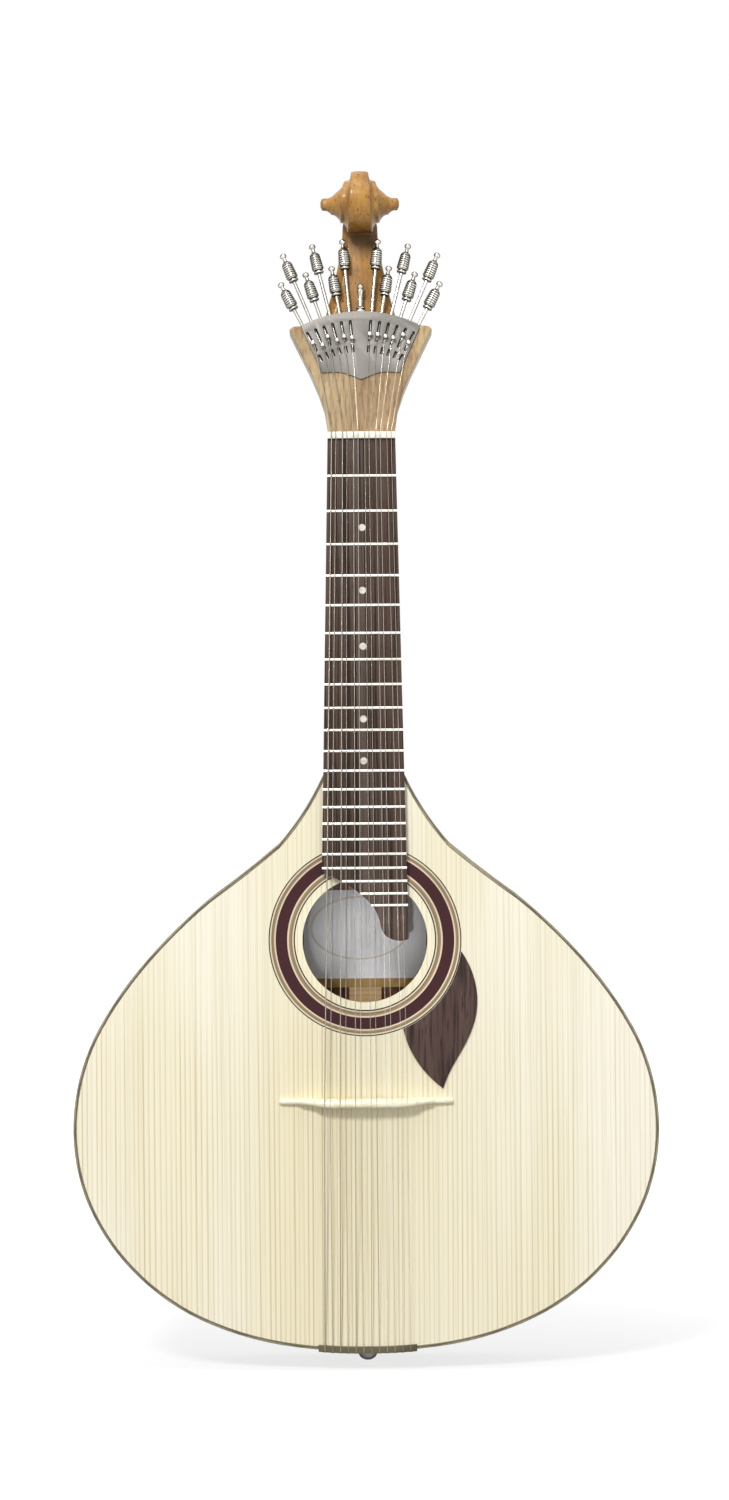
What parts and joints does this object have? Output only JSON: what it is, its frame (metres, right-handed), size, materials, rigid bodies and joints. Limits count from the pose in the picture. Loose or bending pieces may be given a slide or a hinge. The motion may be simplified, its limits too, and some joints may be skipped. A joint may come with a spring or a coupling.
{
  "type": "portuguese guitar",
  "caption": "Pear-shaped flat-topped stringed instrument with a short fretted neck, paired steel strings, a fan of screw tuners on its head and a carved scroll.",
  "frame": {"origin": "place at the back of the head, under its flare and behind the nut, where a hanger's yoke carries the guitar: on the centre plane, halfway through the head's depth", "axes": "+Z along the neck towards the head, +Y from the soundboard towards the back, +X to the right as seen from the front"},
  "size_m": [0.3914, 0.0907, 0.8003],
  "materials": {
    "spruce_top": "satin varnished spruce",
    "body_rosewood": "gloss varnished rosewood",
    "edge_binding": "satin",
    "inner_cedar": "bare",
    "label_paper": "matt paper",
    "rosette_dark": "satin",
    "rosette_light": "satin",
    "ebony_board": "satin",
    "fret_metal": "polished",
    "pearl": "polished",
    "bone": "polished bone",
    "neck_cedar": "gloss varnished",
    "machine_steel": "brushed",
    "knob_nickel": "polished nickel",
    "hook_nickel": "polished nickel",
    "string_steel": "plain and wound steel",
    "tail_metal": "aged"
  },
  "bodies": {
    "root": {"soundboard": "spruce_top", "top_binding": "edge_binding", "back_plate": "body_rosewood", "back_binding": "edge_binding", "right_side": "body_rosewood", "left_side": "body_rosewood", "linings": "inner_cedar", "neck_block": "inner_cedar", "tail_block": "inner_cedar", "top_braces": "inner_cedar", "back_braces": "inner_cedar", "paper_label": "label_paper", "rosette_band": "rosette_dark", "rosette_lines": "rosette_light", "pickguard": "ebony_board", "fingerboard": "ebony_board", "position_dots": "pearl", "frets": "fret_metal", "nut": "bone", "neck": "neck_cedar", "heel_cap": "neck_cedar", "head": "neck_cedar", "fan_plate": "machine_steel", "fan_housing": "machine_steel", "fan_finial": "machine_steel", "bridge": "bone", "string_course_1": "string_steel", "string_course_2": "string_steel", "string_course_3": "string_steel", "string_course_4": "string_steel", "string_course_5": "string_steel", "string_course_6": "string_steel", "tail_guard": "tail_metal", "tailpiece": "tail_metal", "tail_screws": "tail_metal", "strap_button": "tail_metal"},
    "screw_01": {"tuner_screw_01": "knob_nickel"},
    "hook_01": {"tuner_hook_01": "hook_nickel"},
    "screw_02": {"tuner_screw_02": "knob_nickel"},
    "hook_02": {"tuner_hook_02": "hook_nickel"},
    "screw_03": {"tuner_screw_03": "knob_nickel"},
    "hook_03": {"tuner_hook_03": "hook_nickel"},
    "screw_04": {"tuner_screw_04": "knob_nickel"},
    "hook_04": {"tuner_hook_04": "hook_nickel"},
    "screw_05": {"tuner_screw_05": "knob_nickel"},
    "hook_05": {"tuner_hook_05": "hook_nickel"},
    "screw_06": {"tuner_screw_06": "knob_nickel"},
    "hook_06": {"tuner_hook_06": "hook_nickel"},
    "screw_07": {"tuner_screw_07": "knob_nickel"},
    "hook_07": {"tuner_hook_07": "hook_nickel"},
    "screw_08": {"tuner_screw_08": "knob_nickel"},
    "hook_08": {"tuner_hook_08": "hook_nickel"},
    "screw_09": {"tuner_screw_09": "knob_nickel"},
    "hook_09": {"tuner_hook_09": "hook_nickel"},
    "screw_10": {"tuner_screw_10": "knob_nickel"},
    "hook_10": {"tuner_hook_10": "hook_nickel"},
    "screw_11": {"tuner_screw_11": "knob_nickel"},
    "hook_11": {"tuner_hook_11": "hook_nickel"},
    "screw_12": {"tuner_screw_12": "knob_nickel"},
    "hook_12": {"tuner_hook_12": "hook_nickel"}
  },
  "joints": [
    {"name": "screw_01_turn", "type": "hinge", "parent": "root", "child": "screw_01", "pos_m": [-0.03871, 0.00434, 0.06259], "axis": [-0.4501, 0.1551, 0.8794], "range_deg": [-5543, 3527]},
    {"name": "hook_01_slide", "type": "slide", "parent": "root", "child": "hook_01", "axis": [-0.4501, 0.1551, 0.8794], "range_m": [-0.0049, 0.0077], "deforming": ["string_course_1"]},
    {"name": "screw_02_turn", "type": "hinge", "parent": "root", "child": "screw_02", "pos_m": [-0.03277, 0.00481, 0.06527], "axis": [-0.3811, 0.1605, 0.9105], "range_deg": [-8495, 575]},
    {"name": "hook_02_slide", "type": "slide", "parent": "root", "child": "hook_02", "axis": [-0.3811, 0.1605, 0.9105], "range_m": [-0.0008, 0.0118], "deforming": ["string_course_1"]},
    {"name": "screw_03_turn", "type": "hinge", "parent": "root", "child": "screw_03", "pos_m": [-0.02665, 0.0052, 0.06749], "axis": [-0.3098, 0.1651, 0.9363], "range_deg": [-5471, 3599]},
    {"name": "hook_03_slide", "type": "slide", "parent": "root", "child": "hook_03", "axis": [-0.3098, 0.1651, 0.9363], "range_m": [-0.005, 0.0076], "deforming": ["string_course_2"]},
    {"name": "screw_04_turn", "type": "hinge", "parent": "root", "child": "screw_04", "pos_m": [-0.02037, 0.00551, 0.06925], "axis": [-0.2368, 0.1687, 0.9568], "range_deg": [-8495, 575]},
    {"name": "hook_04_slide", "type": "slide", "parent": "root", "child": "hook_04", "axis": [-0.2368, 0.1687, 0.9568], "range_m": [-0.0008, 0.0118], "deforming": ["string_course_2"]},
    {"name": "screw_05_turn", "type": "hinge", "parent": "root", "child": "screw_05", "pos_m": [-0.01397, 0.00574, 0.07053], "axis": [-0.1625, 0.1713, 0.9717], "range_deg": [-7415, 1655]},
    {"name": "hook_05_slide", "type": "slide", "parent": "root", "child": "hook_05", "axis": [-0.1625, 0.1713, 0.9717], "range_m": [-0.0023, 0.0103], "deforming": ["string_course_3"]},
    {"name": "screw_06_turn", "type": "hinge", "parent": "root", "child": "screw_06", "pos_m": [-0.0075, 0.00588, 0.07134], "axis": [-0.0872, 0.173, 0.9811], "range_deg": [-8495, 575]},
    {"name": "hook_06_slide", "type": "slide", "parent": "root", "child": "hook_06", "axis": [-0.0872, 0.173, 0.9811], "range_m": [-0.0008, 0.0118], "deforming": ["string_course_3"]},
    {"name": "screw_07_turn", "type": "hinge", "parent": "root", "child": "screw_07", "pos_m": [0.0075, 0.00588, 0.07134], "axis": [0.0872, 0.173, 0.9811], "range_deg": [-6695, 2375]},
    {"name": "hook_07_slide", "type": "slide", "parent": "root", "child": "hook_07", "axis": [0.0872, 0.173, 0.9811], "range_m": [-0.0033, 0.0093], "deforming": ["string_course_4"]},
    {"name": "screw_08_turn", "type": "hinge", "parent": "root", "child": "screw_08", "pos_m": [0.01397, 0.00574, 0.07053], "axis": [0.1625, 0.1713, 0.9717], "range_deg": [-6551, 2519]},
    {"name": "hook_08_slide", "type": "slide", "parent": "root", "child": "hook_08", "axis": [0.1625, 0.1713, 0.9717], "range_m": [-0.0035, 0.0091], "deforming": ["string_course_4"]},
    {"name": "screw_09_turn", "type": "hinge", "parent": "root", "child": "screw_09", "pos_m": [0.02037, 0.00551, 0.06925], "axis": [0.2368, 0.1687, 0.9568], "range_deg": [-6695, 2375]},
    {"name": "hook_09_slide", "type": "slide", "parent": "root", "child": "hook_09", "axis": [0.2368, 0.1687, 0.9568], "range_m": [-0.0033, 0.0093], "deforming": ["string_course_5"]},
    {"name": "screw_10_turn", "type": "hinge", "parent": "root", "child": "screw_10", "pos_m": [0.02665, 0.0052, 0.06749], "axis": [0.3098, 0.1651, 0.9363], "range_deg": [-6407, 2663]},
    {"name": "hook_10_slide", "type": "slide", "parent": "root", "child": "hook_10", "axis": [0.3098, 0.1651, 0.9363], "range_m": [-0.0037, 0.0089], "deforming": ["string_course_5"]},
    {"name": "screw_11_turn", "type": "hinge", "parent": "root", "child": "screw_11", "pos_m": [0.03277, 0.00481, 0.06527], "axis": [0.3811, 0.1605, 0.9105], "range_deg": [-3311, 5759]},
    {"name": "hook_11_slide", "type": "slide", "parent": "root", "child": "hook_11", "axis": [0.3811, 0.1605, 0.9105], "range_m": [-0.008, 0.0046], "deforming": ["string_course_6"]},
    {"name": "screw_12_turn", "type": "hinge", "parent": "root", "child": "screw_12", "pos_m": [0.03871, 0.00434, 0.06259], "axis": [0.4501, 0.1551, 0.8794], "range_deg": [-5759, 3311]},
    {"name": "hook_12_slide", "type": "slide", "parent": "root", "child": "hook_12", "axis": [0.4501, 0.1551, 0.8794], "range_m": [-0.0046, 0.008], "deforming": ["string_course_6"]}
  ],
  "couplings": [
    {"joint": "hook_01_slide", "follows": "screw_01_turn", "m_per_rad": -0.000079577},
    {"joint": "hook_02_slide", "follows": "screw_02_turn", "m_per_rad": -0.000079577},
    {"joint": "hook_03_slide", "follows": "screw_03_turn", "m_per_rad": -0.000079577},
    {"joint": "hook_04_slide", "follows": "screw_04_turn", "m_per_rad": -0.000079577},
    {"joint": "hook_05_slide", "follows": "screw_05_turn", "m_per_rad": -0.000079577},
    {"joint": "hook_06_slide", "follows": "screw_06_turn", "m_per_rad": -0.000079577},
    {"joint": "hook_07_slide", "follows": "screw_07_turn", "m_per_rad": -0.000079577},
    {"joint": "hook_08_slide", "follows": "screw_08_turn", "m_per_rad": -0.000079577},
    {"joint": "hook_09_slide", "follows": "screw_09_turn", "m_per_rad": -0.000079577},
    {"joint": "hook_10_slide", "follows": "screw_10_turn", "m_per_rad": -0.000079577},
    {"joint": "hook_11_slide", "follows": "screw_11_turn", "m_per_rad": -0.000079577},
    {"joint": "hook_12_slide", "follows": "screw_12_turn", "m_per_rad": -0.000079577}
  ]
}
